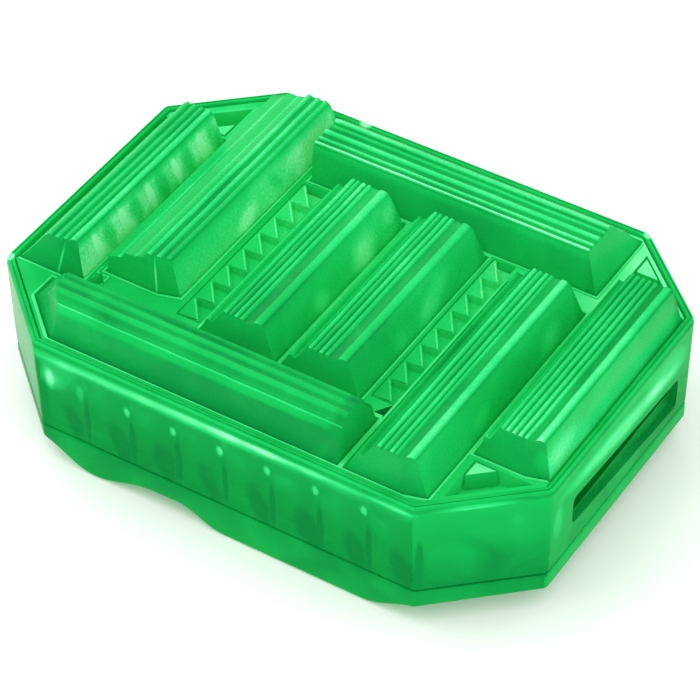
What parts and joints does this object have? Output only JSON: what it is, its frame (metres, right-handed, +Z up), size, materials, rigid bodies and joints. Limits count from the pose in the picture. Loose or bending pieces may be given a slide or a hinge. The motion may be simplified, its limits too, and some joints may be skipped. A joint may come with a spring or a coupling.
{
  "type": "honing block",
  "caption": "Hand-held eight-sided honing block of clear green plastic, with raised ribbed bars, toothed strips and corner pockets on its deck and a long slot in one end.",
  "frame": {"origin": "under the middle of the base, on the surface that the block rests on", "axes": "+X along the block's length, towards the end with the slot; +Y across its width, towards the side with the long rear bar; +Z up"},
  "size_m": [0.096, 0.0696, 0.031],
  "materials": {
    "case_green": "clear green moulded plastic, glossy, light shows through",
    "base_green": "clear green moulded plastic, glossy, light shows through",
    "deck_green": "clear green moulded plastic, glossy",
    "bar_green": "clear green moulded plastic with fine ridges, satin gloss",
    "strip_green": "clear green moulded plastic, satin gloss",
    "rib_green": "green moulded plastic seen through the clear wall"
  },
  "bodies": {
    "root": {"base": "base_green", "outer_case": "case_green", "deck": "deck_green", "bar_left_end": "bar_green", "bar_rear_left": "bar_green", "bar_middle_left": "bar_green", "bar_middle_right": "bar_green", "bar_front_right": "bar_green", "bar_right_end": "bar_green", "bar_front": "bar_green", "bar_rear": "bar_green", "toothed_strip_left": "strip_green", "toothed_strip_right": "strip_green", "corner_block_front_right": "deck_green", "corner_block_rear_right": "deck_green", "corner_block_rear_left": "deck_green", "rib_comb_front": "rib_green", "rib_comb_rear": "rib_green"}
  },
  "joints": []
}
